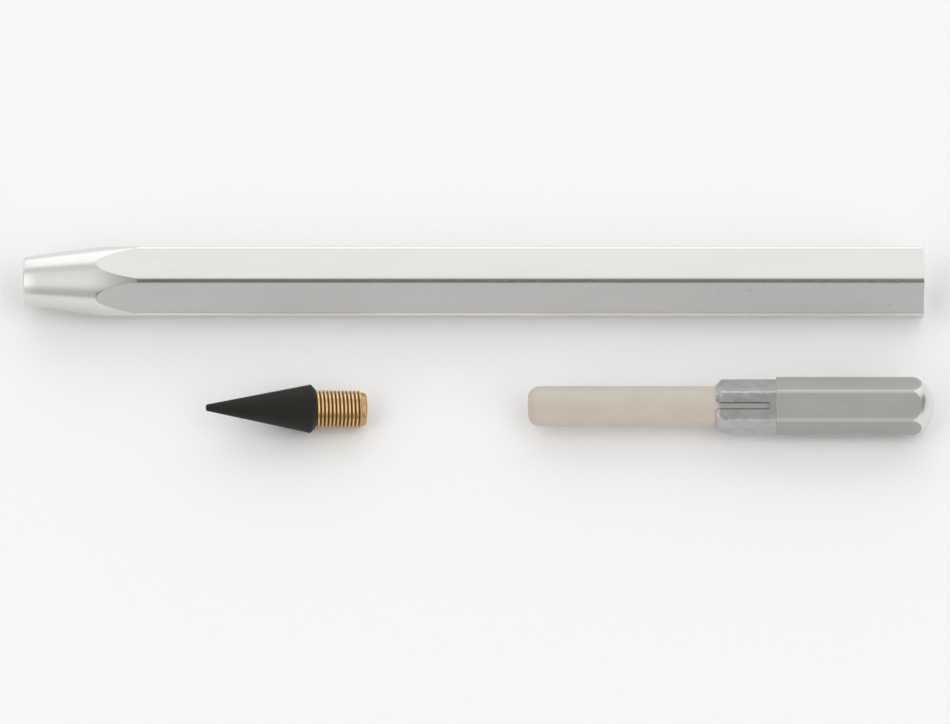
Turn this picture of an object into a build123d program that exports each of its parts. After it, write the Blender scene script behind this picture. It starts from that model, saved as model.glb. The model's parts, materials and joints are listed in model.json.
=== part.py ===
from build123d import *
import math
import os

# An inkless metal pencil, taken apart and laid on a table: the barrel, the screw-in tip and the eraser cap.
# The origin is on the table under the middle of the barrel, +X runs to its rear, and +Z is up.
# The barrel is modelled from the mouth of its nose, the tip from the cone's rim and the eraser cap from
# its shoulder, all along X, and each is then laid in its place.

# Barrel: a hexagonal tube that lies on one of its flats
BARREL_LENGTH = 117.4
BARREL_ACROSS_FLATS = 9.0
BARREL_EDGE_RADIUS = 0.45
BARREL_REAR_CHAMFER = 0.12
NOSE_RIM_WIDTH = 0.3
NOSE_EDGE_RADIUS = 0.2
NOSE_TAPER_LENGTH = 18.6
NOSE_TAPER_RUNOUT = 0.37
NOSE_TAPER_CROWN = 0.09
NOSE_WEB_LENGTH = 4.4

# Screw thread that the tip and the nose share
THREAD_DIAMETER = 5.0
THREAD_PITCH = 0.5
THREAD_DEPTH = 0.28
THREAD_ROOT_GAP = 0.08
THREAD_CREST_WIDTH = 0.1
THREAD_CLEARANCE = 0.06
THREAD_END_ROOM = 0.6

# Tip: a graphite cone glued into a brass screw stub
CONE_LENGTH = 13.6
CONE_POINT_DIAMETER = 0.9
CONE_POINT_RADIUS = 0.25
CONE_RIM_RADIUS = 0.08
CONE_SEAT_MARGIN = 0.1
CONE_SEAT_DEPTH = 0.3
TENON_LENGTH = 4.0
GLUE_GAP = 0.03
STUB_WALL = 0.69
STUB_THREAD_LENGTH = 5.8
STUB_PILOT_LENGTH = 0.9
STUB_PILOT_RELIEF = 0.07
STUB_PILOT_RADIUS = 0.35

# Eraser cap: a slotted plug that grips the eraser, under a domed cap
ERASER_DIAMETER = 5.2
ERASER_EXPOSED_LENGTH = 24.4
ERASER_GRIPPED_LENGTH = 14.0
ERASER_END_RADIUS = 1.5
ERASER_CLEARANCE = 0.04
COLLET_WALL = 0.41
COLLET_EDGE_RADIUS = 0.2
COLLET_EXPOSED_LENGTH = 7.8
COLLET_TAIL_LENGTH = 12.0
COLLET_MOUTH_LIP = 0.12
COLLET_SLOT_WIDTH = 0.95
COLLET_SLOT_SETBACK = 0.7
COLLET_FIT_CLEARANCE = 0.05
CAP_WALL = 0.3
CAP_LENGTH = 20.5
CAP_EDGE_RADIUS = 0.3
CAP_DOME_FLATTENING = 0.43
CAP_DOME_BLEND_RADIUS = 2.9
CAP_SHOULDER_CHAMFER = 0.12
CAP_END_ROOM = 0.8

# Places on the table
ROW_GAP = 13.5
TIP_TO_ERASER_GAP = 21.0
TIP_YAW = 3.3
CAP_SETBACK = 19.5
CAP_ROLL = 30.0

# The thread sets the sizes of the tip and of the nose that it screws into
THREAD_ROOT_WIDTH = THREAD_PITCH - THREAD_ROOT_GAP
CONE_SEAT_DIAMETER = THREAD_DIAMETER + 2 * CONE_SEAT_MARGIN
NOSE_COUNTERSINK_DIAMETER = CONE_SEAT_DIAMETER + 2 * CONE_SEAT_DEPTH
NOSE_FRONT_DIAMETER = NOSE_COUNTERSINK_DIAMETER + 2 * NOSE_RIM_WIDTH
CONE_BASE_DIAMETER = NOSE_FRONT_DIAMETER
CONE_CHAMFER = (CONE_BASE_DIAMETER - CONE_SEAT_DIAMETER) / 2
STUB_CORE_DIAMETER = THREAD_DIAMETER - 2 * THREAD_DEPTH
STUB_PILOT_DIAMETER = STUB_CORE_DIAMETER - 2 * STUB_PILOT_RELIEF
STUB_LENGTH = STUB_THREAD_LENGTH + STUB_PILOT_LENGTH
TENON_DIAMETER = STUB_CORE_DIAMETER - 2 * (STUB_WALL + GLUE_GAP)
NOSE_THREAD_END = CONE_SEAT_DEPTH + STUB_LENGTH + THREAD_END_ROOM
NOSE_SOLID_LENGTH = NOSE_THREAD_END + NOSE_WEB_LENGTH

# The eraser sets the sizes of the plug, and the plug those of the cap and of the barrel's bore
COLLET_BORE_DIAMETER = ERASER_DIAMETER + 2 * ERASER_CLEARANCE
COLLET_ACROSS_FLATS = COLLET_BORE_DIAMETER + 2 * COLLET_WALL
COLLET_SLOT_LENGTH = COLLET_EXPOSED_LENGTH - COLLET_SLOT_SETBACK
CAP_ACROSS_FLATS = COLLET_ACROSS_FLATS + 2 * CAP_WALL
BARREL_BORE_FLATS = COLLET_ACROSS_FLATS + 2 * COLLET_FIT_CLEARANCE

# Turned forms start on the hexagon's top flat, away from its edges
SEAM_ON_FLAT = Rot(90, 0, 0)


def corner_reach(across_flats, edge_radius):
    """Distance from a rounded hexagon's centre to the top of its rounded corner."""
    sharp_corner = across_flats / math.sqrt(3)
    return sharp_corner - edge_radius * (2 / math.sqrt(3) - 1)


def hexagon_bar(across_flats, edge_radius, start, end):
    """Hexagonal bar along X with a flat on top and rounded long edges."""
    outline = RegularPolygon(across_flats / 2, 6, major_radius=False)
    outline = fillet(outline.vertices(), edge_radius)
    return extrude(Plane.YZ.offset(start) * outline, end - start)


def turned(*points):
    """Solid turned about the X axis from an outline of (x, radius) points."""
    return revolve(make_face(Polyline(*points, close=True)), Axis.X)


def rod(diameter, start, end):
    """Round rod along X."""
    return turned((start, 0), (start, diameter / 2), (end, diameter / 2), (end, 0))


def screw(diameter, start, end):
    """Threaded rod along X with a right-hand helical ridge, cut square at both ends."""
    root_radius = diameter / 2 - THREAD_DEPTH
    spare = 2 * THREAD_PITCH
    path = Helix(THREAD_PITCH, end - start + 2 * spare, root_radius)
    section_plane = Plane(path @ 0, x_dir=(1, 0, 0), z_dir=path % 0)
    flank_slope = (THREAD_ROOT_WIDTH - THREAD_CREST_WIDTH) / (2 * THREAD_DEPTH)
    sunk_depth = THREAD_ROOT_GAP / (4 * flank_slope)
    sunk_width = THREAD_ROOT_WIDTH + THREAD_ROOT_GAP / 2
    ridge = Polygon(
        (-sunk_depth, -sunk_width / 2),
        (THREAD_DEPTH, -THREAD_CREST_WIDTH / 2),
        (THREAD_DEPTH, THREAD_CREST_WIDTH / 2),
        (-sunk_depth, sunk_width / 2),
        align=None,
    )
    coil = sweep(section_plane * ridge, path, is_frenet=True)
    coil = Pos(start - spare, 0, 0) * Rot(0, 90, 0) * coil
    core = rod(2 * root_radius, start - 2 * spare, end + 2 * spare)
    return (core + coil) & rod(2 * diameter, start, end)


def nose_envelope():
    """Turned form that tapers the hexagon to the round nose."""
    front_radius = NOSE_FRONT_DIAMETER / 2
    end_radius = corner_reach(BARREL_ACROSS_FLATS, BARREL_EDGE_RADIUS) + NOSE_TAPER_RUNOUT
    middle = (NOSE_TAPER_LENGTH / 2, (front_radius + end_radius) / 2 + NOSE_TAPER_CROWN)
    taper = ThreePointArc((0, front_radius), middle, (NOSE_TAPER_LENGTH, end_radius))
    back = Polyline(
        (NOSE_TAPER_LENGTH, end_radius),
        (BARREL_LENGTH, end_radius),
        (BARREL_LENGTH, 0),
        (0, 0),
        (0, front_radius),
    )
    profile = make_face(taper + back)
    front_corner = profile.vertices().sort_by_distance((0, front_radius))[0]
    return SEAM_ON_FLAT * revolve(fillet(front_corner, NOSE_EDGE_RADIUS), Axis.X)


def nose_hole():
    """Countersink, the thread's bore at its full depth and the drilled hole through the solid nose."""
    thread_bore_diameter = THREAD_DIAMETER + 2 * THREAD_CLEARANCE
    drill_diameter = thread_bore_diameter - 2 * THREAD_DEPTH
    countersink_radius = NOSE_COUNTERSINK_DIAMETER / 2
    countersink = turned((0, 0), (0, countersink_radius), (countersink_radius, 0))
    thread_bore = rod(thread_bore_diameter, 0, NOSE_THREAD_END)
    return countersink + thread_bore + rod(drill_diameter, 0, NOSE_SOLID_LENGTH)


def barrel():
    bar = hexagon_bar(BARREL_ACROSS_FLATS, BARREL_EDGE_RADIUS, 0, BARREL_LENGTH)
    bar = bar & nose_envelope()
    rear_edges = bar.faces().sort_by(Axis.X)[-1].edges()
    bar = chamfer(rear_edges, BARREL_REAR_CHAMFER)
    bore = hexagon_bar(BARREL_BORE_FLATS, COLLET_EDGE_RADIUS, NOSE_SOLID_LENGTH, BARREL_LENGTH)
    return bar - bore - nose_hole()


def graphite_cone():
    """Cone with its point towards -X, its rim at x = 0 and a tenon behind."""
    base_radius = CONE_BASE_DIAMETER / 2
    point_radius = CONE_POINT_DIAMETER / 2
    outline = make_face(Polyline(
        (-CONE_LENGTH, 0),
        (-CONE_LENGTH, point_radius),
        (0, base_radius),
        (CONE_CHAMFER, CONE_SEAT_DIAMETER / 2),
        (CONE_CHAMFER, TENON_DIAMETER / 2),
        (CONE_CHAMFER + TENON_LENGTH, TENON_DIAMETER / 2),
        (CONE_CHAMFER + TENON_LENGTH, 0),
        close=True,
    ))
    point_corner = outline.vertices().sort_by_distance((-CONE_LENGTH, point_radius))[0]
    outline = fillet(point_corner, CONE_POINT_RADIUS)
    rim_corner = outline.vertices().sort_by_distance((0, base_radius))[0]
    return revolve(fillet(rim_corner, CONE_RIM_RADIUS), Axis.X)


def brass_stub():
    """Screw stub behind the cone, with a blind socket for the tenon and a plain pilot end."""
    thread_end = CONE_CHAMFER + STUB_THREAD_LENGTH
    stub_end = CONE_CHAMFER + STUB_LENGTH
    socket_diameter = TENON_DIAMETER + 2 * GLUE_GAP
    pilot = rod(STUB_PILOT_DIAMETER, CONE_CHAMFER, stub_end)
    pilot = fillet(pilot.edges().sort_by(Axis.X)[-1], STUB_PILOT_RADIUS)
    runout = turned(
        (CONE_CHAMFER, 0),
        (CONE_CHAMFER, THREAD_DIAMETER),
        (thread_end - THREAD_DEPTH, THREAD_DIAMETER / 2 + THREAD_DEPTH),
        (thread_end + THREAD_DEPTH, THREAD_DIAMETER / 2 - THREAD_DEPTH),
        (thread_end + THREAD_DEPTH, 0),
    )
    stub = (screw(THREAD_DIAMETER, CONE_CHAMFER, thread_end) & runout) + pilot
    return stub - rod(socket_diameter, CONE_CHAMFER, CONE_CHAMFER + TENON_LENGTH + GLUE_GAP)


def eraser_stick():
    """Round eraser that leaves the plug's mouth towards -X."""
    mouth = -COLLET_EXPOSED_LENGTH
    stick = rod(ERASER_DIAMETER, mouth - ERASER_EXPOSED_LENGTH, mouth + ERASER_GRIPPED_LENGTH)
    return fillet(stick.edges().sort_by(Axis.X)[0], ERASER_END_RADIUS)


def eraser_collet():
    """Hexagonal plug with a turned mouth, the eraser's bore and a slot through two opposite flats."""
    mouth = -COLLET_EXPOSED_LENGTH
    tail = COLLET_TAIL_LENGTH
    lip_radius = COLLET_BORE_DIAMETER / 2 + COLLET_MOUTH_LIP
    clear_radius = COLLET_ACROSS_FLATS
    lead_in = turned(
        (mouth, 0),
        (mouth, lip_radius),
        (mouth + clear_radius - lip_radius, clear_radius),
        (tail, clear_radius),
        (tail, 0),
    )
    plug = hexagon_bar(COLLET_ACROSS_FLATS, COLLET_EDGE_RADIUS, mouth, tail) & lead_in
    slot_middle = mouth + (COLLET_SLOT_LENGTH - COLLET_SLOT_WIDTH) / 2
    slot = SlotOverall(COLLET_SLOT_LENGTH + COLLET_SLOT_WIDTH, COLLET_SLOT_WIDTH)
    cutter = extrude(Pos(slot_middle, 0) * slot, COLLET_ACROSS_FLATS, both=True)
    return plug - rod(COLLET_BORE_DIAMETER, mouth, tail) - cutter


def dome_envelope():
    """Turned form of the cap: a crowned end blended into the hexagon's corners."""
    side_radius = CAP_ACROSS_FLATS / math.sqrt(3)
    crown_radius = side_radius + CAP_DOME_FLATTENING
    crown_centre = CAP_LENGTH - crown_radius
    crown_angle = math.asin(side_radius / crown_radius)
    crown_foot = (crown_centre + crown_radius * math.cos(crown_angle), side_radius)
    crown = CenterArc((crown_centre, 0), crown_radius, 0, math.degrees(crown_angle))
    sides = Polyline(crown_foot, (0, side_radius), (0, 0), (CAP_LENGTH, 0))
    profile = make_face(crown + sides)
    foot_corner = profile.vertices().sort_by_distance(crown_foot)[0]
    return SEAM_ON_FLAT * revolve(fillet(foot_corner, CAP_DOME_BLEND_RADIUS), Axis.X)


def end_cap():
    """Hexagonal cap with a domed end, pressed over the plug's tail."""
    shell = hexagon_bar(CAP_ACROSS_FLATS, CAP_EDGE_RADIUS, 0, CAP_LENGTH)
    shoulder_edges = shell.faces().sort_by(Axis.X)[0].edges()
    shell = chamfer(shoulder_edges, CAP_SHOULDER_CHAMFER) & dome_envelope()
    socket_end = COLLET_TAIL_LENGTH + CAP_END_ROOM
    return shell - hexagon_bar(COLLET_ACROSS_FLATS, COLLET_EDGE_RADIUS, 0, socket_end)


# Everything lies on the table at z = 0, with the barrel on one of its flats
barrel_place = Pos(-BARREL_LENGTH / 2, 0, BARREL_ACROSS_FLATS / 2)
row_y = -corner_reach(BARREL_ACROSS_FLATS, BARREL_EDGE_RADIUS) - ROW_GAP

# The eraser cap lies on an edge, with a slotted flat turned up towards the viewer
cap_x = BARREL_LENGTH / 2 - CAP_SETBACK
cap_height = corner_reach(CAP_ACROSS_FLATS, CAP_EDGE_RADIUS)
cap_place = Pos(cap_x, row_y, cap_height) * Rot(CAP_ROLL, 0, 0)

# The tip rests on the cone's rim and the last turn of the thread, so its point is a little raised
rest_run = CONE_CHAMFER + STUB_THREAD_LENGTH - THREAD_DEPTH
rest_drop = (CONE_BASE_DIAMETER - THREAD_DIAMETER) / 2
tip_tilt = math.degrees(math.atan2(rest_drop, rest_run))
tip_height = CONE_BASE_DIAMETER / 2 * math.cos(math.radians(tip_tilt))
eraser_end_x = cap_x - COLLET_EXPOSED_LENGTH - ERASER_EXPOSED_LENGTH
tip_x = eraser_end_x - TIP_TO_ERASER_GAP - STUB_LENGTH - CONE_CHAMFER
tip_place = Pos(tip_x, row_y, tip_height) * Rot(0, 0, TIP_YAW) * Rot(0, tip_tilt, 0)

pieces = {
    "barrel": barrel_place * barrel(),
    "graphite_cone": tip_place * graphite_cone(),
    "brass_stub": tip_place * brass_stub(),
    "eraser_stick": cap_place * eraser_stick(),
    "eraser_collet": cap_place * eraser_collet(),
    "end_cap": cap_place * end_cap(),
}

os.makedirs("parts", exist_ok=True)
for name, piece in pieces.items():
    export_step(piece, f"parts/{name}.step")
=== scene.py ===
import json
import math

import bmesh
import bpy
from mathutils import Matrix, Vector


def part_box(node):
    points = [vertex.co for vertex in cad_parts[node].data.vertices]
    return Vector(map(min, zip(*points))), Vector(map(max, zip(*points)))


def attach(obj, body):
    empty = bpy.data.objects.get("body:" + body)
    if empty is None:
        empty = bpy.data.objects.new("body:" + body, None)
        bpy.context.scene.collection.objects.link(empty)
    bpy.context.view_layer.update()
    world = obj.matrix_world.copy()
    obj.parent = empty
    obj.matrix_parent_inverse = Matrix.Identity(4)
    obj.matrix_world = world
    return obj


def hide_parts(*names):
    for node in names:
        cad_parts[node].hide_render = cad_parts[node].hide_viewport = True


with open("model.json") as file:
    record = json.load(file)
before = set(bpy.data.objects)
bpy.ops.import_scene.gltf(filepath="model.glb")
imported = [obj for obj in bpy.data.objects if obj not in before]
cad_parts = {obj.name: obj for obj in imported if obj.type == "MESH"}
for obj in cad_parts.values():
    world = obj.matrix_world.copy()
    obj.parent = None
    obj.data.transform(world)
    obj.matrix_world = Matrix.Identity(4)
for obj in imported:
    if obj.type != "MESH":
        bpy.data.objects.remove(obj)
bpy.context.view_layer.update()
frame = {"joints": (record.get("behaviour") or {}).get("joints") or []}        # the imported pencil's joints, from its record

MM = 0.001
NEAR = 0.01 * MM
OVERLAP = 1.0 * MM       # how far a cutting tool reaches past the piece that it cuts

# Sizes that the frame gives
barrel_low, barrel_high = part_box("barrel")
cap_low, cap_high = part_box("end_cap")
collet_low, collet_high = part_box("eraser_collet")
eraser_low, eraser_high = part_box("eraser_stick")
tip_joint = next(joint for joint in frame["joints"] if joint["name"] == "tip_turn")

BARREL_LENGTH = barrel_high.x - barrel_low.x
BARREL_FLATS = barrel_high.z - barrel_low.z
BARREL_CORNER = barrel_high.y
CAP_LENGTH = cap_high.x - cap_low.x
CAP_FLATS = cap_high.y - cap_low.y
COLLET_FLATS = collet_high.y - collet_low.y
COLLET_CORNER = (collet_high.z - collet_low.z) / 2
COLLET_MOUTH = collet_low.x - cap_low.x
COLLET_TAIL = collet_high.x - cap_low.x
ERASER_RADIUS = (eraser_high.z - eraser_low.z) / 2
ERASER_FREE_END = eraser_low.x - cap_low.x
ERASER_HELD_END = eraser_high.x - cap_low.x

# Barrel: nose, edges and holes
BARREL_EDGE_RADIUS = 0.62 * MM
BARREL_REAR_CHAMFER = 0.12 * MM
NOSE_FRONT_RADIUS = 3.2 * MM
NOSE_EDGE_RADIUS = 0.2 * MM
NOSE_EDGE_TURN = 95      # degrees from +X at which the mouth's rounding meets the taper
NOSE_TAPER_LENGTH = 18.6 * MM
NOSE_SLOPE = 0.136
NOSE_CONE_LENGTH = 9.0 * MM
NOSE_RUNOUT_BEND = 8.5   # loss of slope for each metre past the cone
NOSE_SOLID_LENGTH = 12.0 * MM
NOSE_THREAD_END = 7.6 * MM
COUNTERSINK_RADIUS = 2.9 * MM
TAPPING_RADIUS = 2.24 * MM
BORE_CLEARANCE = 0.1 * MM
BORE_FLATS = COLLET_FLATS + BORE_CLEARANCE
BORE_EDGE_RADIUS = 0.35 * MM

# Screw thread of the tip and the nose
THREAD_RADIUS = 2.49 * MM
THREAD_PITCH = 0.5 * MM
THREAD_DEPTH = 0.28 * MM
THREAD_ROOT_GAP = 0.08 * MM
THREAD_CREST_WIDTH = 0.1 * MM
THREAD_CLEARANCE = 0.07 * MM
THREAD_END_OVERLAP = 0.2 * MM
THREAD_SPARE_TURNS = 4

# Tip: cone and screw stub
CONE_LENGTH = 13.6 * MM
CONE_POINT_RADIUS = 0.45 * MM
CONE_POINT_ROUNDING = 0.25 * MM
CONE_RIM_RADIUS = NOSE_FRONT_RADIUS
CONE_RIM_ROUNDING = 0.08 * MM
CONE_RIM_BREAK = CONE_RIM_ROUNDING / 4
CONE_CHAMFER = 0.6 * MM
STUB_THREAD_LENGTH = 5.8 * MM
STUB_PILOT_LENGTH = 0.9 * MM
STUB_PILOT_RADIUS = 2.15 * MM
STUB_PILOT_ROUNDING = 0.35 * MM
STUB_THREAD_END = CONE_CHAMFER + STUB_THREAD_LENGTH

# Eraser, plug and cap
ERASER_END_ROUNDING = 1.5 * MM
ERASER_CLEARANCE = 0.04 * MM
COLLET_BORE_RADIUS = ERASER_RADIUS + ERASER_CLEARANCE
COLLET_LIP = 0.12 * MM
COLLET_EDGE_RADIUS = 0.2 * MM
COLLET_SLOT_WIDTH = 0.95 * MM
COLLET_SLOT_SETBACK = 0.7 * MM
CAP_CORNER = CAP_FLATS / math.sqrt(3)
CAP_EDGE_RADIUS = 0.3 * MM
CAP_DOME_FLATTENING = 0.43 * MM
CAP_CROWN_RADIUS = CAP_CORNER + CAP_DOME_FLATTENING
CAP_BLEND_RADIUS = 2.9 * MM
CAP_POLE_ANGLE = 0.5     # degrees from the axis at which the dome closes
CAP_SHOULDER_CHAMFER = 0.12 * MM
CAP_END_ROOM = 0.8 * MM
CAP_ROLL = math.radians(30)

# Facets of turned and rounded shapes
COARSE_SIDES = 64
ROUND_SIDES = 96
FINE_SIDES = 180
THREAD_SIDES = 48
EDGE_SEGMENTS = 8
CHAMFER_SEGMENTS = 2
ROUNDING_RINGS = 8
NOSE_RINGS = 24
CONE_POINT_RINGS = 6
CONE_RINGS = 30
ERASER_END_RINGS = 12
ERASER_RINGS = 40
DOME_RINGS = 14

# Angles past which an edge is shaded sharp, in degrees
HEXAGON_SHARP = 14
SCREW_SHARP = 25
CONE_SHARP = 30
ERASER_SHARP = 40

# Lean towards an end of the piece past which a face counts as turned
TURNED_LEAN = 0.02

# Noise: its roughness, and the range that most of a pattern lies in
NOISE_ROUGHNESS = 0.55
NOISE_LOW = 0.3
NOISE_HIGH = 0.7

# Rub marks on the barrel's front flat: x, height up the flat, radius and the way the curve bulges, in degrees
SCUFF_WIDTH = 0.12 * MM
SCUFF_FADE = (0.2, 0.7)
SCUFFS = ((BARREL_LENGTH / 2 + 31.5 * MM, 0.9 * MM, 0.35 * MM, 20),
          (BARREL_LENGTH / 2 + 35.9 * MM, 0.75 * MM, 0.4 * MM, 90),
          (BARREL_LENGTH / 2 + 30.3 * MM, -0.85 * MM, 0.3 * MM, 0),
          (BARREL_LENGTH / 2 + 54.0 * MM, -0.75 * MM, 0.4 * MM, -60))

# Places of the three groups of pieces, each modelled along X from its own datum
barrel_place = Matrix.Translation((barrel_low.x, 0, BARREL_FLATS / 2))
cap_axis = Vector((cap_low.x, (cap_low.y + cap_high.y) / 2, (cap_low.z + cap_high.z) / 2))
cap_place = Matrix.Translation(cap_axis) @ Matrix.Rotation(CAP_ROLL, 4, "X")
tip_axis = Vector(tip_joint["axis"])
tip_rim = Vector(tip_joint["pos_m"])
tip_place = Matrix.Translation(tip_rim) @ tip_axis.to_track_quat("X", "Z").to_matrix().to_4x4()

# Camera, at the photograph's scale and viewing angle
CAMERA_ELEVATION = math.radians(58.5)
CAMERA_DISTANCE = 2.0
CAMERA_CLIP = (0.01, 20)
PIXELS_PER_METRE = 7667
IMAGE_WIDTH = 950
IMAGE_HEIGHT = 724
BARREL_AXIS_ROW = 281.5
BARREL_MIDDLE_COLUMN = 474

# Floor
FLOOR_SIZE = 12
FLOOR_WHITE = (0.98, 0.98, 0.98, 1)

# Light tent round the X axis: levels by the climb in degrees, from the front over the top to the back
TENT = ((0, 0.69), (22, 0.76), (38, 0.96), (92, 0.96), (104, 0.69), (119, 0.67), (131, 1.48), (174, 1.48),
        (180, 1.0))
# Light that its sides gain, and light lost at the back's sides and in the opening for the camera
TENT_WINGS = ((0, 0.15), (25, 0.2), (45, 0.65), (80, 0.65), (100, 0.2), (180, 0.1))
TENT_BACK_SHADE = ((0, 0.0), (112, 0.0), (134, 0.38), (180, 0.38))
TENT_OPENING = ((0, 0.74), (20, 0.76), (34, 0.97), (84, 0.97), (102, 0.0))

# Where these start and end along X, as the X part of a direction
TENT_WINGS_REACH = (0.1, 0.4)
TENT_BACK_REACH = (0.15, 0.33)
TENT_OPENING_REACH = (0.15, 0.23)
TENT_OPENING_OFFSET = 0.07
TENT_OPENING_WIDENING = 0.12
TENT_ENDS_REACH = (0.80, 0.93)

# Climb below which the opening widens, and the level of the tent's two ends
TENT_WIDENING_CLIMB = (math.radians(20), math.radians(40))
TENT_ENDS_LEVEL = 0.1


# Modelling steps

def activate(piece):
    """Select a piece alone."""
    bpy.ops.object.select_all(action="DESELECT")
    bpy.context.view_layer.objects.active = piece
    piece.select_set(True)


def edit(piece):
    """Open a piece alone in edit mode."""
    activate(piece)
    bpy.ops.object.mode_set(mode="EDIT")


def close():
    """Leave edit mode."""
    bpy.ops.object.mode_set(mode="OBJECT")


def begin(name):
    """Name the primitive that was just added, with its size and place in its mesh."""
    blank = bpy.context.object
    blank.name = blank.data.name = name
    bpy.ops.object.transform_apply(location=True, rotation=True, scale=True)
    return blank


def select_edges(piece, wanted):
    """In edit mode, select only the edges for which wanted(edge) holds."""
    bpy.ops.mesh.select_mode(type="EDGE")
    bpy.ops.mesh.select_all(action="DESELECT")
    mesh = bmesh.from_edit_mesh(piece.data)
    for edge in mesh.edges:
        edge.select_set(wanted(edge))
    bmesh.update_edit_mesh(piece.data)


def apply_modifier(piece, kind, **settings):
    """Give a piece a modifier and apply it."""
    activate(piece)
    modifier = piece.modifiers.new(kind.lower(), kind)
    for name, value in settings.items():
        setattr(modifier, name, value)
    bpy.ops.object.modifier_apply(modifier=modifier.name)


def cut(piece, tool, operation="DIFFERENCE"):
    """Cut a piece with a tool, which is then thrown away."""
    apply_modifier(piece, "BOOLEAN", operation=operation, solver="EXACT", object=tool)
    bpy.data.objects.remove(tool)


def turned(name, stations, sides):
    """Closed blank turned about X: a disc drawn out ring by ring through its (x, radius) stations."""
    (x, radius), *rest = stations
    bpy.ops.object.select_all(action="DESELECT")
    bpy.ops.mesh.primitive_circle_add(vertices=sides, radius=radius, fill_type="NGON",
                                      location=(x, 0, 0), rotation=(0, math.pi / 2, 0))
    blank = begin(name)
    edit(blank)
    bpy.ops.mesh.select_all(action="SELECT")
    for next_x, next_radius in rest:
        bpy.ops.mesh.extrude_region_move(TRANSFORM_OT_translate={"value": (next_x - x, 0, 0)})
        growth = next_radius / radius
        bpy.ops.transform.resize(value=(1, growth, growth), center_override=(next_x, 0, 0))
        x, radius = next_x, next_radius
    bpy.ops.mesh.select_all(action="SELECT")
    bpy.ops.mesh.normals_make_consistent(inside=False)
    close()
    return blank


def evenly(start, end, count):
    """Evenly spaced places, from the first one past start to end."""
    return [start + (end - start) * (i + 1) / count for i in range(count)]


def arc(centre_x, centre_radius, radius, start, end, steps):
    """Stations on an arc, with angles in degrees from the +X direction."""
    angles = [math.radians(start + (end - start) * i / steps) for i in range(steps + 1)]
    return [(centre_x + radius * math.cos(a), centre_radius + radius * math.sin(a)) for a in angles]


def hexagon_bar(name, across_flats, start, end, edge_radius):
    """Hexagonal bar along X with one flat on top and rounded long edges."""
    bpy.ops.object.select_all(action="DESELECT")
    bpy.ops.mesh.primitive_cylinder_add(vertices=6, radius=across_flats / math.sqrt(3), depth=end - start,
                                        location=((start + end) / 2, 0, 0), rotation=(0, math.pi / 2, 0))
    bar = begin(name)
    edit(bar)
    select_edges(bar, lambda edge: abs(edge.verts[0].co.x - edge.verts[1].co.x) > (end - start) / 2)
    set_back = edge_radius * math.tan(math.radians(30))
    bpy.ops.mesh.bevel(offset=set_back, segments=EDGE_SEGMENTS, affect="EDGES")
    close()
    return bar


def chamfer_end(bar, x, width):
    """Chamfer the edges round one end of a bar."""
    edit(bar)
    select_edges(bar, lambda edge: all(abs(vert.co.x - x) < NEAR for vert in edge.verts))
    bpy.ops.mesh.bevel(offset=width, segments=CHAMFER_SEGMENTS, affect="EDGES")
    close()


def threaded_rod(name, radius, start, end):
    """Rod along X with a right-hand thread, cut square at both ends."""
    root = radius - THREAD_DEPTH
    flank = (THREAD_PITCH - THREAD_ROOT_GAP - THREAD_CREST_WIDTH) / 2
    steps = [(THREAD_ROOT_GAP, 0), (flank, THREAD_DEPTH), (THREAD_CREST_WIDTH, 0), (flank, -THREAD_DEPTH)]
    turns = math.ceil((end - start) / THREAD_PITCH) + THREAD_SPARE_TURNS
    first_x = start - THREAD_SPARE_TURNS / 2 * THREAD_PITCH
    bpy.ops.object.select_all(action="DESELECT")
    bpy.ops.mesh.primitive_plane_add(size=THREAD_PITCH, location=(first_x, 0, root))
    rod = begin(name)
    edit(rod)
    bpy.ops.mesh.select_all(action="SELECT")
    bpy.ops.mesh.merge(type="CENTER")
    bpy.ops.mesh.select_mode(type="VERT")
    bpy.ops.mesh.select_all(action="SELECT")
    for along, out in steps:
        bpy.ops.mesh.extrude_vertices_move(TRANSFORM_OT_translate={"value": (along, 0, out)})
    close()
    apply_modifier(rod, "SCREW", axis="X", angle=2 * math.pi, screw_offset=THREAD_PITCH, iterations=turns,
                   steps=THREAD_SIDES, render_steps=THREAD_SIDES, use_normal_calculate=True)
    edit(rod)
    bpy.ops.mesh.select_all(action="SELECT")
    bpy.ops.mesh.remove_doubles(threshold=0.1 * NEAR)
    for x, outward in ((start, -1), (end, 1)):
        bpy.ops.mesh.select_all(action="SELECT")
        bpy.ops.mesh.bisect(plane_co=(x, 0, 0), plane_no=(outward, 0, 0), use_fill=True, clear_outer=True,
                            threshold=0.001 * NEAR)
    bpy.ops.mesh.select_all(action="SELECT")
    bpy.ops.mesh.normals_make_consistent(inside=False)
    close()
    return rod


def smooth(piece, sharp_angle):
    """Shade smooth, with the broad faces setting the shading of narrow ones beside them."""
    activate(piece)
    bpy.ops.object.shade_smooth_by_angle(angle=math.radians(sharp_angle))
    apply_modifier(piece, "WEIGHTED_NORMAL", mode="FACE_AREA", weight=100, keep_sharp=True)


def mark_turned_faces(piece, end):
    """Mark the faces that lean towards one end, the nose or the dome, whose finish is another; on the nose
    the colour also holds a painted shade.
    """
    marks = piece.data.attributes.new("turned", "FLOAT", "FACE")
    for face in piece.data.polygons:
        marks.data[face.index].value = 1.0 if end * face.normal.x > TURNED_LEAN else 0.0


def place(piece, matrix, body, node):
    """Lay a finished piece in its place, on its body, in place of its node."""
    piece.data.transform(matrix)
    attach(piece, body)
    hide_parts(node)


# Pieces

def nose_radius(x):
    """Radius of the turned nose at a distance from its mouth: a cone that runs out to the bar's edges."""
    return NOSE_FRONT_RADIUS + NOSE_SLOPE * x - NOSE_RUNOUT_BEND * max(x - NOSE_CONE_LENGTH, 0) ** 2 / 2


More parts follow.
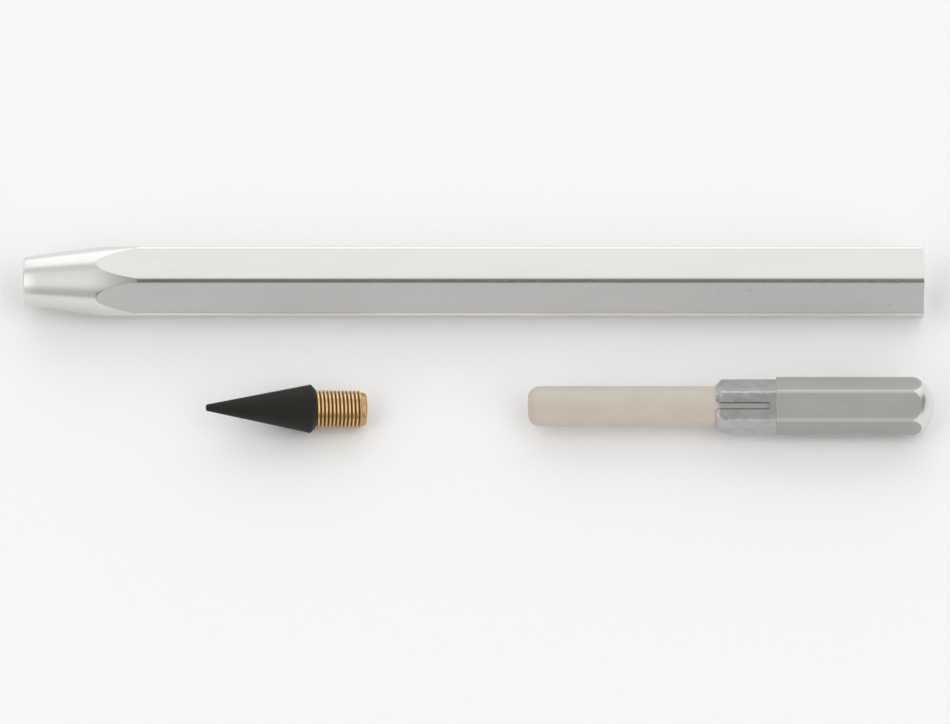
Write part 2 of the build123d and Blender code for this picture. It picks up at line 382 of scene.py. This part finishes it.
def make_barrel():
    """Hexagonal tube with a turned nose, a threaded hole in the nose and a hexagonal bore from the rear."""
    barrel = hexagon_bar("barrel_body", BARREL_FLATS, -OVERLAP, BARREL_LENGTH, BARREL_EDGE_RADIUS)
    chamfer_end(barrel, BARREL_LENGTH, BARREL_REAR_CHAMFER)
    mouth = arc(NOSE_EDGE_RADIUS, NOSE_FRONT_RADIUS - NOSE_EDGE_RADIUS, NOSE_EDGE_RADIUS,
                180, NOSE_EDGE_TURN, ROUNDING_RINGS)
    taper = [(x, nose_radius(x)) for x in evenly(NOSE_EDGE_RADIUS, NOSE_TAPER_LENGTH, NOSE_RINGS)]
    shank = [(BARREL_LENGTH + OVERLAP, nose_radius(NOSE_TAPER_LENGTH))]
    cut(barrel, turned("nose_tool", mouth + taper + shank, FINE_SIDES), "INTERSECT")
    cut(barrel, hexagon_bar("bore_tool", BORE_FLATS, NOSE_SOLID_LENGTH, BARREL_LENGTH + OVERLAP,
                            BORE_EDGE_RADIUS))
    cut(barrel, threaded_rod("thread_tool", THREAD_RADIUS + THREAD_CLEARANCE, -OVERLAP, NOSE_THREAD_END))
    cut(barrel, turned("hole_tool", [(NOSE_THREAD_END - THREAD_END_OVERLAP, TAPPING_RADIUS),
                                     (NOSE_SOLID_LENGTH + OVERLAP, TAPPING_RADIUS)], COARSE_SIDES))
    countersink_depth = COUNTERSINK_RADIUS - TAPPING_RADIUS
    cut(barrel, turned("countersink_tool", [(-THREAD_END_OVERLAP, COUNTERSINK_RADIUS + THREAD_END_OVERLAP),
                                            (countersink_depth, TAPPING_RADIUS)], COARSE_SIDES))
    smooth(barrel, HEXAGON_SHARP)
    mark_turned_faces(barrel, -1)
    place(barrel, barrel_place, "barrel", "barrel")
    return barrel


def make_cap():
    """Hexagonal cap with a turned dome and a hexagonal socket for the plug."""
    crown_x = CAP_LENGTH - CAP_CROWN_RADIUS
    blend_out = CAP_CORNER - CAP_BLEND_RADIUS
    blend_along = math.sqrt((CAP_CROWN_RADIUS - CAP_BLEND_RADIUS) ** 2 - blend_out ** 2)
    meet = math.degrees(math.atan2(blend_out, blend_along))
    dome = [(-OVERLAP, CAP_CORNER)]
    dome += arc(crown_x + blend_along, blend_out, CAP_BLEND_RADIUS, 90, meet, DOME_RINGS)
    dome += arc(crown_x, 0, CAP_CROWN_RADIUS, meet, CAP_POLE_ANGLE, DOME_RINGS)[1:]
    cap = hexagon_bar("cap_shell", CAP_FLATS, 0, CAP_LENGTH + OVERLAP, CAP_EDGE_RADIUS)
    chamfer_end(cap, 0, CAP_SHOULDER_CHAMFER)
    cut(cap, turned("dome_tool", dome, FINE_SIDES), "INTERSECT")
    socket_end = COLLET_TAIL + CAP_END_ROOM
    cut(cap, hexagon_bar("socket_tool", COLLET_FLATS, -OVERLAP, socket_end, COLLET_EDGE_RADIUS))
    smooth(cap, HEXAGON_SHARP)
    mark_turned_faces(cap, 1)
    place(cap, cap_place, "cap", "end_cap")
    return cap


def slot_tool(start, end):
    """Bar across the plug that cuts a slot through both its sides, round at its end."""
    depth = 3 * COLLET_FLATS
    bpy.ops.object.select_all(action="DESELECT")
    bpy.ops.mesh.primitive_cube_add(size=1, location=((start + end) / 2, 0, 0),
                                    scale=(end - start, COLLET_SLOT_WIDTH, depth))
    slot = begin("slot_tool")
    edit(slot)
    select_edges(slot, lambda edge: all(vert.co.x > end - NEAR for vert in edge.verts)
                 and abs(edge.verts[0].co.z - edge.verts[1].co.z) > depth / 2)
    bpy.ops.mesh.bevel(offset=COLLET_SLOT_WIDTH / 2 - NEAR, segments=EDGE_SEGMENTS, affect="EDGES")
    close()
    return slot


def make_collet():
    """Hexagonal plug with a tapered mouth, bored for the eraser and slotted so that it grips."""
    collet = hexagon_bar("eraser_plug", COLLET_FLATS, COLLET_MOUTH - OVERLAP, COLLET_TAIL, COLLET_EDGE_RADIUS)
    lip = COLLET_BORE_RADIUS + COLLET_LIP
    shank = COLLET_CORNER + OVERLAP
    lead_in = [(COLLET_MOUTH, lip), (COLLET_MOUTH + shank - lip, shank), (COLLET_TAIL + OVERLAP, shank)]
    cut(collet, turned("lead_in_tool", lead_in, ROUND_SIDES), "INTERSECT")
    cut(collet, turned("bore_tool", [(COLLET_MOUTH - OVERLAP, COLLET_BORE_RADIUS),
                                     (COLLET_TAIL + OVERLAP, COLLET_BORE_RADIUS)], ROUND_SIDES))
    cut(collet, slot_tool(COLLET_MOUTH - OVERLAP, -COLLET_SLOT_SETBACK))
    smooth(collet, HEXAGON_SHARP)
    place(collet, cap_place, "cap", "eraser_collet")
    return collet


def make_eraser():
    """Round stick with a rounded free end."""
    rounded_end = arc(ERASER_FREE_END + ERASER_END_ROUNDING, ERASER_RADIUS - ERASER_END_ROUNDING,
                      ERASER_END_ROUNDING, 180, 90, ERASER_END_RINGS)
    straight_start = rounded_end[-1][0]
    stick = [(x, ERASER_RADIUS) for x in evenly(straight_start, ERASER_HELD_END, ERASER_RINGS)]
    eraser = turned("eraser_rubber", rounded_end + stick, COARSE_SIDES)
    smooth(eraser, ERASER_SHARP)
    place(eraser, cap_place, "eraser", "eraser_stick")
    return eraser


def make_cone():
    """Writing cone with a blunt point and a chamfer behind its rim."""
    slope = math.atan2(CONE_RIM_RADIUS - CONE_POINT_RADIUS, CONE_LENGTH)
    point = arc(CONE_POINT_ROUNDING - CONE_LENGTH, CONE_POINT_RADIUS - CONE_POINT_ROUNDING,
                CONE_POINT_ROUNDING, 180, 90 + math.degrees(slope), CONE_POINT_RINGS)
    side_x, side_radius = point[-1]
    side = [(x, side_radius + (x - side_x) * math.tan(slope))
            for x in evenly(side_x, -CONE_RIM_ROUNDING, CONE_RINGS)]
    rim = [(0, CONE_RIM_RADIUS - CONE_RIM_BREAK), (CONE_RIM_ROUNDING, CONE_RIM_RADIUS - CONE_RIM_ROUNDING),
           (CONE_CHAMFER, CONE_RIM_RADIUS - CONE_CHAMFER)]
    cone = turned("graphite_point", point + side + rim, ROUND_SIDES)
    smooth(cone, CONE_SHARP)
    place(cone, tip_place, "tip", "graphite_cone")
    return cone


def make_stub():
    """Screw with a thread that runs out to a plain pilot."""
    stub = threaded_rod("brass_screw", THREAD_RADIUS, CONE_CHAMFER, STUB_THREAD_END + THREAD_END_OVERLAP)
    runout = [(CONE_CHAMFER - OVERLAP, 2 * THREAD_RADIUS),
              (STUB_THREAD_END - THREAD_DEPTH, THREAD_RADIUS + THREAD_DEPTH),
              (STUB_THREAD_END + THREAD_DEPTH, THREAD_RADIUS - THREAD_DEPTH)]
    cut(stub, turned("runout_tool", runout, COARSE_SIDES), "INTERSECT")
    pilot = [(CONE_CHAMFER + OVERLAP, STUB_PILOT_RADIUS), (STUB_THREAD_END - OVERLAP, STUB_PILOT_RADIUS)]
    pilot += arc(STUB_THREAD_END + STUB_PILOT_LENGTH - STUB_PILOT_ROUNDING,
                 STUB_PILOT_RADIUS - STUB_PILOT_ROUNDING, STUB_PILOT_ROUNDING, 90, 0, ROUNDING_RINGS)
    cut(stub, turned("pilot_tool", pilot, COARSE_SIDES), "UNION")
    smooth(stub, SCREW_SHARP)
    place(stub, tip_place, "tip", "brass_stub")
    return stub


# Materials

class Nodes:
    """Adds nodes to one node tree."""

    def __init__(self, tree):
        self.tree = tree

    def add(self, kind, links=(), **settings):
        """Add a node; links pairs its inputs with outputs or plain values."""
        node = self.tree.nodes.new(kind)
        for name, value in settings.items():
            setattr(node, name, value)
        for socket, source in links:
            self.join(source, node.inputs[socket])
        return node

    def join(self, source, socket):
        """Give a socket an output or a plain value."""
        if isinstance(source, bpy.types.NodeSocket):
            self.tree.links.new(source, socket)
        else:
            socket.default_value = source

    def math(self, operation, first, second=0.0):
        """A number worked out from one or two others."""
        return self.add("ShaderNodeMath", [(0, first), (1, second)], operation=operation).outputs[0]

    def vector_math(self, operation, first, second=(0, 0, 0)):
        """A vector, or a number where the operation gives one."""
        node = self.add("ShaderNodeVectorMath", [(0, first), (1, second)], operation=operation)
        gives_number = operation in ("DISTANCE", "DOT_PRODUCT", "LENGTH")
        return node.outputs["Value" if gives_number else "Vector"]

    def split(self, vector):
        """A vector's X, Y and Z."""
        return self.add("ShaderNodeSeparateXYZ", [(0, vector)]).outputs[:3]

    def spread(self, noise, low, high):
        """Map a noise pattern to low and high."""
        links = [("Value", noise), ("From Min", NOISE_LOW), ("From Max", NOISE_HIGH),
                 ("To Min", low), ("To Max", high)]
        return self.add("ShaderNodeMapRange", links).outputs["Result"]

    def ease(self, value, start, end):
        """Rise smoothly from 0 at start to 1 at end."""
        return self.add("ShaderNodeMapRange", [("Value", value), ("From Min", start), ("From Max", end)],
                        interpolation_type="SMOOTHSTEP").outputs["Result"]

    def fall(self, value, start, end):
        """Fall smoothly from 1 at start to 0 at end."""
        return self.math("SUBTRACT", 1.0, self.ease(value, start, end))

    def mix(self, amount, first, second):
        """A number between two others."""
        return self.add("ShaderNodeMix", [(0, amount), (2, first), (3, second)]).outputs[0]

    def blend(self, amount, first, second):
        """A colour between two others."""
        return self.add("ShaderNodeMix", [(0, amount), (6, first), (7, second)], data_type="RGBA").outputs[2]

    def ramp(self, value, stops):
        """Grey levels over half a turn, from (degrees, level) stops."""
        node = self.add("ShaderNodeValToRGB", [(0, value)])
        elements = node.color_ramp.elements
        while len(elements) < len(stops):
            elements.new(0.5)
        for element, (angle, level) in zip(elements, stops):
            element.position = angle / 180
            element.color = (level, level, level, 1)
        return node.outputs["Color"]


class Finish(Nodes):
    """A procedural material on a piece's own axis: X along it, Y and Z across it, in metres."""

    def __init__(self, name, axis_place, metallic=0.0, specular=0.5):
        self.material = bpy.data.materials.new(name)
        self.material.use_nodes = True
        super().__init__(self.material.node_tree)
        self.shader = self.tree.nodes["Principled BSDF"]
        self.shader.inputs["Metallic"].default_value = metallic
        self.shader.inputs["Specular IOR Level"].default_value = specular
        self.object_point = self.add("ShaderNodeTexCoord").outputs["Object"]
        self.point = self.seen_from(axis_place)
        self.along, self.across = self.split(self.point)[:2]

    def seen_from(self, axis_place):
        """The surface point in the axes of a place."""
        links = [("Vector", self.object_point), ("Location", axis_place.translation),
                 ("Rotation", axis_place.to_euler())]
        return self.add("ShaderNodeMapping", links, vector_type="TEXTURE").outputs["Vector"]

    def noise(self, scale, detail, turn=(0, 0, 0)):
        """A noise pattern, with its scale along and across the piece in waves for each metre."""
        stretch = [("Vector", self.point), ("Rotation", turn), ("Scale", scale)]
        stretched = self.add("ShaderNodeMapping", stretch).outputs["Vector"]
        links = [("Vector", stretched), ("Scale", 1.0), ("Detail", detail), ("Roughness", NOISE_ROUGHNESS)]
        return self.add("ShaderNodeTexNoise", links).outputs["Fac"]

    def attribute(self, name):
        """A value that the mesh holds."""
        return self.add("ShaderNodeAttribute", attribute_name=name).outputs["Fac"]

    def radius(self):
        """Distance of the surface point from the piece's axis."""
        return self.vector_math("LENGTH", self.vector_math("MULTIPLY", self.point, (0, 1, 1)))

    def long_edges(self, corner, start, end):
        """Rise from 0 to 1 onto a hexagonal piece's long edges, between distances short of its corners."""
        return self.ease(self.radius(), corner - start, corner - end)

    def bump(self, height, strength, distance):
        """Give the surface a fine relief."""
        links = [("Height", height), ("Strength", strength), ("Distance", distance)]
        self.join(self.add("ShaderNodeBump", links).outputs["Normal"], self.shader.inputs["Normal"])

    def paint(self, colour, roughness):
        """Give the surface its colour and roughness."""
        self.join(colour, self.shader.inputs["Base Color"])
        self.join(roughness, self.shader.inputs["Roughness"])


def satin_aluminium():
    """Fine-grained satin flats, with smoother rounded edges and nose whose colour is darker as a painted
    shade, and a few rub marks.
    """
    dull, pale = (0.81, 0.795, 0.775, 1), (0.84, 0.825, 0.805, 1)
    # The darker colour for the rounded edges and the nose is painted shade
    edge_and_nose_shade, overlay_tone = (0.75, 0.735, 0.715, 1), (0.5, 0.5, 0.49, 1)
    mark_strength, smoothing = 0.45, 0.11
    finish = Finish("satin_aluminium", barrel_place, metallic=1.0)
    grain = finish.noise((1200, 9000, 9000), detail=3)
    cloud = finish.noise((60, 300, 300), detail=3)
    rounded = finish.long_edges(BARREL_CORNER, start=0.2 * MM, end=0.07 * MM)
    polish_and_shade = finish.math("MAXIMUM", rounded, finish.attribute("turned"))
    marks = scuffs(finish)
    flats = finish.blend(finish.spread(cloud, 0.0, 1.0), dull, pale)
    # Painted shade: the rounded edges and the nose get the darker colour
    flats_with_painted_light = finish.blend(polish_and_shade, flats, edge_and_nose_shade)
    colour = finish.blend(finish.math("MULTIPLY", marks, mark_strength), flats_with_painted_light, overlay_tone)
    satin = finish.spread(grain, 0.335, 0.365)
    roughness = finish.math("SUBTRACT", satin, finish.math("MULTIPLY", polish_and_shade, smoothing))
    finish.paint(colour, roughness)
    finish.bump(finish.math("SUBTRACT", grain, marks), strength=0.02, distance=0.01 * MM)
    return finish.material


def scuffs(finish):
    """Faint curved rub marks on the front flat."""
    front_flat = finish.seen_from(barrel_place @ Matrix.Rotation(math.radians(60), 4, "X"))
    marks = 0.0
    for x, up, radius, bulge in SCUFFS:
        centre = (x, up, BARREL_FLATS / 2)
        direction = (math.cos(math.radians(bulge)) / radius, math.sin(math.radians(bulge)) / radius, 0)
        distance = finish.vector_math("DISTANCE", front_flat, centre)
        off_ring = finish.math("ABSOLUTE", finish.math("SUBTRACT", distance, radius))
        line = finish.fall(off_ring, 0, SCUFF_WIDTH)
        offset = finish.vector_math("SUBTRACT", front_flat, centre)
        side = finish.ease(finish.vector_math("DOT_PRODUCT", offset, direction), *SCUFF_FADE)
        marks = finish.math("ADD", marks, finish.math("MULTIPLY", line, side))
    return marks


def cap_metal():
    """Grey satin flats with a painted highlight along the long edges, and a smooth bright dome."""
    dull, pale = (0.46, 0.45, 0.435, 1), (0.50, 0.49, 0.475, 1)
    # The lighter colour along the long edges is a painted highlight
    overlay_tone, bright = (0.64, 0.63, 0.615, 1), (0.78, 0.765, 0.745, 1)
    edge_highlight_strength = 0.8
    finish = Finish("cap_metal", cap_place, metallic=1.0)
    grain = finish.noise((2500, 9000, 9000), detail=3)
    cloud = finish.noise((150, 400, 400), detail=3)
    dome = finish.attribute("turned")
    rounding_loss = CAP_EDGE_RADIUS * (2 / math.sqrt(3) - 1)
    edge = finish.long_edges(CAP_CORNER - rounding_loss, start=0.16 * MM, end=0.04 * MM)
    flats = finish.blend(finish.spread(cloud, 0.0, 1.0), dull, pale)
    # Painted highlight along the long edges
    flats_with_painted_light = finish.blend(finish.math("MULTIPLY", edge, edge_highlight_strength), flats, overlay_tone)
    satin = finish.spread(grain, 0.50, 0.60)
    gloss = finish.spread(grain, 0.29, 0.33)
    finish.paint(finish.blend(dome, flats_with_painted_light, bright), finish.mix(dome, satin, gloss))
    finish.bump(grain, strength=0.06, distance=0.01 * MM)
    return finish.material


def rough_casting():
    """Pitted casting with worn edges, tool streaks and eraser crumbs at the slot's mouth."""
    dark, light = (0.47, 0.47, 0.465, 1), (0.60, 0.60, 0.605, 1)
    bare, crumb = (0.85, 0.85, 0.84, 1), (0.82, 0.79, 0.74, 1)
    streak_angle = math.radians(50)
    streak_strength, wear_strength = 0.7, 0.4
    finish = Finish("rough_casting", cap_place, metallic=1.0)
    pits = finish.noise((2600, 5200, 5200), detail=5)
    cloud = finish.noise((500, 900, 900), detail=4)
    edge = finish.long_edges(COLLET_CORNER, start=0.16 * MM, end=0.04 * MM)
    broken = finish.ease(finish.noise((1500, 1500, 1500), detail=4), 0.42, 0.56)
    wear = finish.math("MULTIPLY", edge, broken)
    drawn = finish.noise((700, 7000, 7000), detail=2, turn=(0, 0, streak_angle))
    streaks = finish.ease(drawn, 0.60, 0.66)
    near_mouth = finish.fall(finish.along, COLLET_MOUTH + 0.3 * MM, COLLET_MOUTH + 1.4 * MM)
    near_slot = finish.fall(finish.math("ABSOLUTE", finish.across), 1.2 * MM, 3.0 * MM)
    specks = finish.ease(finish.noise((2200, 2200, 2200), detail=2), 0.57, 0.62)
    crumbs = finish.math("MULTIPLY", specks, finish.math("MULTIPLY", near_mouth, near_slot))
    metal = finish.blend(finish.spread(cloud, 0.0, 1.0), dark, light)
    scraped = finish.math("MAXIMUM", wear, finish.math("MULTIPLY", streaks, streak_strength))
    worn = finish.blend(finish.math("MULTIPLY", scraped, wear_strength), metal, bare)
    finish.paint(finish.blend(crumbs, worn, crumb), finish.spread(pits, 0.28, 0.44))
    finish.bump(finish.math("ADD", pits, crumbs), strength=0.4, distance=0.03 * MM)
    return finish.material


def graphite():
    """Near-black, faintly ringed by turning."""
    dark, light = (0.012, 0.011, 0.0085, 1), (0.020, 0.0185, 0.0145, 1)
    finish = Finish("graphite", tip_place, specular=0.22)
    grain = finish.noise((5000, 5000, 5000), detail=5)
    rings = finish.noise((9000, 60, 60), detail=2)
    mixed = finish.math("MULTIPLY", finish.math("ADD", grain, rings), 0.5)
    finish.paint(finish.blend(finish.spread(mixed, 0, 1), dark, light), finish.spread(grain, 0.45, 0.60))
    finish.bump(mixed, strength=0.25, distance=0.015 * MM)
    return finish.material


def brass():
    """Bright crests, a darker and less metallic brown in the thread's grooves, and a matt pilot."""
    deep, pale = (0.85, 0.56, 0.20, 1), (0.95, 0.69, 0.31, 1)
    matt, groove_dark = (0.56, 0.365, 0.16, 1), (0.15, 0.050, 0.005, 1)
    dulling, groove_cover = 0.14, 0.9
    finish = Finish("brass", tip_place, metallic=1.0, specular=0.1)
    tarnish = finish.noise((900, 900, 900), detail=4)
    groove = finish.fall(finish.radius(), THREAD_RADIUS - 0.20 * MM, THREAD_RADIUS - 0.02 * MM)
    threaded = finish.fall(finish.along, STUB_THREAD_END - 0.1 * MM, STUB_THREAD_END + 0.1 * MM)
    # Darker brown, less metallic colour towards the thread's root
    groove_darkening = finish.math("MULTIPLY", groove, threaded)
    crest = finish.blend(finish.spread(tarnish, 0, 1), deep, pale)
    clean = finish.blend(threaded, matt, crest)
    pilot = finish.math("SUBTRACT", 1.0, threaded)
    gloss = finish.spread(tarnish, 0.19, 0.26)
    roughness = finish.math("ADD", gloss, finish.math("MULTIPLY", pilot, dulling))
    finish.paint(finish.blend(groove_darkening, clean, groove_dark), roughness)
    bare = finish.math("SUBTRACT", 1.0, finish.math("MULTIPLY", groove_darkening, groove_cover))
    finish.join(bare, finish.shader.inputs["Metallic"])
    return finish.material


def eraser_rubber():
    """Beige rubber, a little darker where the plug holds it and greyer where the slot shows it, with a
    painted shadow along the slot's edges.
    """
    beige, pale = (0.605, 0.53, 0.455, 1), (0.645, 0.572, 0.495, 1)
    gripped_dark, gripped_light = (0.515, 0.465, 0.41, 1), (0.565, 0.51, 0.45, 1)
    # Greyer tone where the slot shows the rubber
    slot_grey_dark, slot_grey_light = (0.38, 0.365, 0.335, 1), (0.48, 0.465, 0.43, 1)
    # The dark colour along the slot's edges is a painted shadow of the slot's walls
    slot_edge_shadow = (0.12, 0.115, 0.11, 1)
    slot_edge = COLLET_SLOT_WIDTH / 2
    slot_shadow_start = 0.2 * MM
    slot_area_fade = 0.15 * MM
    finish = Finish("eraser_rubber", cap_place, specular=0.25)
    mottle = finish.spread(finish.noise((350, 500, 500), detail=5), 0, 1)
    fine = finish.noise((5000, 5000, 5000), detail=3)
    held = finish.ease(finish.along, COLLET_MOUTH + 0.1 * MM, COLLET_MOUTH + 0.7 * MM)
    off_slot = finish.math("ABSOLUTE", finish.across)
    overlay_tone = finish.blend(finish.spread(fine, 0, 1), slot_grey_dark, slot_grey_light)
    # Painted shadow along the slot's edges, over the grey in the slot
    in_slot = finish.blend(finish.ease(off_slot, slot_shadow_start, slot_edge), overlay_tone, slot_edge_shadow)
    slot_area = finish.fall(off_slot, slot_edge, slot_edge + slot_area_fade)
    held_and_slot_colour = finish.blend(slot_area, finish.blend(mottle, gripped_dark, gripped_light), in_slot)
    clean = finish.blend(mottle, beige, pale)
    finish.paint(finish.blend(held, clean, held_and_slot_colour), finish.spread(fine, 0.52, 0.68))
    finish.bump(fine, strength=0.15, distance=0.02 * MM)
    return finish.material


# Studio: a pale floor, a light tent and the camera

def make_camera():
    """Camera above the front, which sees the barrel at the photograph's place."""
    up = Vector((0, math.sin(CAMERA_ELEVATION), math.cos(CAMERA_ELEVATION)))
    back = Vector((0, -math.cos(CAMERA_ELEVATION), math.sin(CAMERA_ELEVATION)))
    barrel_axis = Vector((0, 0, BARREL_FLATS / 2))
    target = barrel_axis - up * (IMAGE_HEIGHT / 2 - BARREL_AXIS_ROW) / PIXELS_PER_METRE
    target.x += (IMAGE_WIDTH / 2 - BARREL_MIDDLE_COLUMN) / PIXELS_PER_METRE
    bpy.ops.object.camera_add(location=target + back * CAMERA_DISTANCE,
                              rotation=(math.pi / 2 - CAMERA_ELEVATION, 0, 0))
    camera = bpy.context.object
    camera.data.lens = camera.data.sensor_width * PIXELS_PER_METRE * CAMERA_DISTANCE / IMAGE_WIDTH
    camera.data.clip_start, camera.data.clip_end = CAMERA_CLIP
    bpy.context.scene.camera = camera


def make_floor():
    """Pale matt floor, just under the pieces."""
    bpy.ops.object.select_all(action="DESELECT")
    bpy.ops.mesh.primitive_plane_add(size=FLOOR_SIZE, location=(0, 0, -NEAR))
    floor = bpy.context.object
    floor.name = "floor"
    material = bpy.data.materials.new("pale_floor")
    material.use_nodes = True
    paper = material.node_tree.nodes["Principled BSDF"]
    paper.inputs["Base Color"].default_value = FLOOR_WHITE
    paper.inputs["Roughness"].default_value = 1.0
    paper.inputs["Specular IOR Level"].default_value = 0.0
    floor.data.materials.append(material)


def make_tent():
    """Soft light tent: bright at the back, dimmer in front and dark where the camera looks in."""
    world = bpy.data.worlds.new("light_tent")
    bpy.context.scene.world = world
    world.use_nodes = True
    nodes = Nodes(world.node_tree)
    x, y, z = nodes.split(nodes.add("ShaderNodeTexCoord").outputs["Generated"])
    climb = nodes.math("ARCTAN2", z, nodes.math("MULTIPLY", y, -1))
    share = nodes.math("DIVIDE", climb, math.pi)
    side = nodes.math("ABSOLUTE", x)
    low = nodes.fall(climb, *TENT_WIDENING_CLIMB)
    widening = nodes.math("MULTIPLY", low, TENT_OPENING_WIDENING)
    middle = nodes.math("SUBTRACT", widening, TENT_OPENING_OFFSET)
    off_middle = nodes.math("ABSOLUTE", nodes.math("SUBTRACT", x, middle))
    across = nodes.fall(nodes.math("SUBTRACT", off_middle, widening), *TENT_OPENING_REACH)
    opening = nodes.math("MULTIPLY", across, nodes.ramp(share, TENT_OPENING))
    back = nodes.math("MULTIPLY", nodes.ease(side, *TENT_BACK_REACH), nodes.ramp(share, TENT_BACK_SHADE))
    shade = nodes.math("SUBTRACT", nodes.math("SUBTRACT", 1.0, opening), back)
    wing = nodes.math("MULTIPLY", nodes.ease(side, *TENT_WINGS_REACH), nodes.ramp(share, TENT_WINGS))
    ends = nodes.mix(nodes.ease(side, *TENT_ENDS_REACH), 1.0, TENT_ENDS_LEVEL)
    along = nodes.math("MULTIPLY", nodes.math("ADD", 1.0, wing), ends)
    background = nodes.tree.nodes["Background"]
    nodes.join(nodes.ramp(share, TENT), background.inputs["Color"])
    nodes.join(nodes.math("MULTIPLY", shade, along), background.inputs["Strength"])


bpy.context.scene.view_settings.view_transform = "Standard"
for piece, finish in ((make_barrel(), satin_aluminium()), (make_cap(), cap_metal()),
                      (make_collet(), rough_casting()), (make_eraser(), eraser_rubber()),
                      (make_cone(), graphite()), (make_stub(), brass())):
    piece.data.materials.clear()
    piece.data.materials.append(finish)
    # The small pieces in front stay out of the reflections in the barrel's flats
    piece.visible_glossy = piece.name == "barrel_body"
make_camera()
make_floor()
make_tent()
